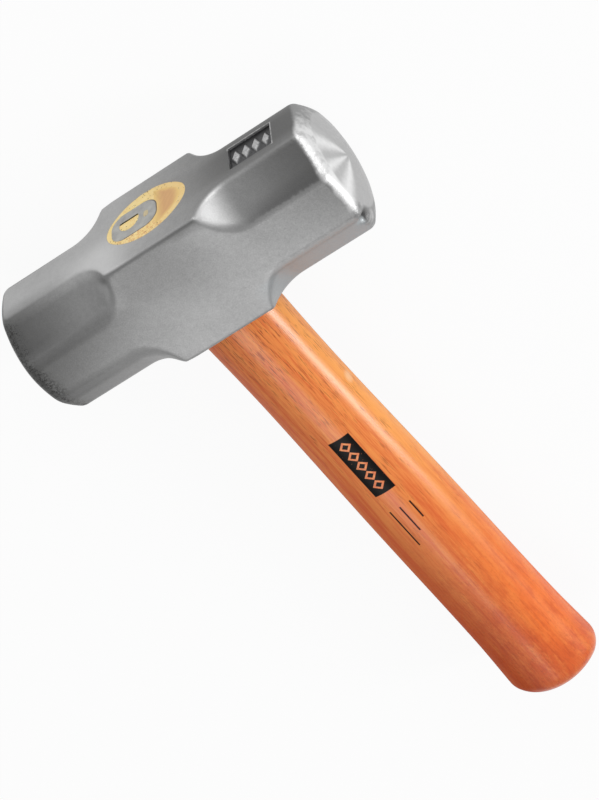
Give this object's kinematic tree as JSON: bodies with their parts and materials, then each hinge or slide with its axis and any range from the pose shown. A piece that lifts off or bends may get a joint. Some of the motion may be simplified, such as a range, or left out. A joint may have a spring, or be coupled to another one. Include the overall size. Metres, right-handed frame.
{
  "type": "club hammer",
  "caption": "Club hammer with a forged octagonal double-faced head and a short oval wooden handle, wedged and set in resin.",
  "frame": {"origin": "centre of the lower cheek of the head, under the crossing of the head's axis and the handle's axis", "axes": "+X along the head towards the stamped end, +Y up the handle from the butt to the eye face, +Z out of the upper cheek"},
  "size_m": [0.146, 0.287, 0.045],
  "materials": {
    "forged_steel": "fine blasted satin, with bare turned bevels at both faces",
    "varnished_wood": "orange-brown varnish, glossy, over straight grain with short dark pores",
    "wedge_steel": "dull, as cut",
    "amber_resin": "yellow cast resin with specks and small voids"
  },
  "bodies": {
    "root": {"hammer_head": "forged_steel", "handle": "varnished_wood", "steel_wedge": "wedge_steel", "eye_resin": "amber_resin"}
  },
  "joints": []
}
